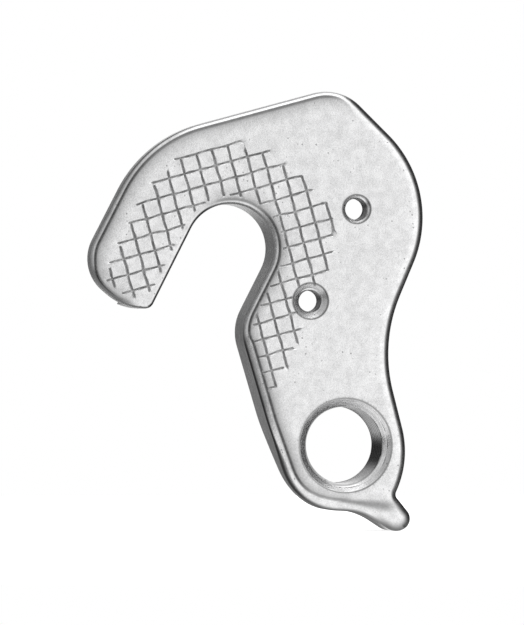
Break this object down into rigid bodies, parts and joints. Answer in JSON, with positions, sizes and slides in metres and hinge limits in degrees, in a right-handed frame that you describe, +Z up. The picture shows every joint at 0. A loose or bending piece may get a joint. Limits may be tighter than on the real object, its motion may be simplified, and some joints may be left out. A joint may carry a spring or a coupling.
{
  "type": "bicycle derailleur hanger",
  "caption": "Screw-on derailleur hanger: hooked plate with an axle slot, a grid engraved round it, screw threads and a threaded eye for the derailleur",
  "frame": {"origin": "on the axis of the derailleur's thread, in the face that the hub's nut grips", "axes": "+Z up and -X to the front of the bicycle, with the axle slot open to the front and down; +Y along the thread, out through the hanger to the frame and the derailleur"},
  "size_m": [0.0393, 0.008, 0.0511],
  "materials": {
    "aluminium": "tumbled, finely pitted, with a satin sheen"
  },
  "bodies": {
    "root": {"derailleur_hanger": "aluminium"}
  },
  "joints": []
}
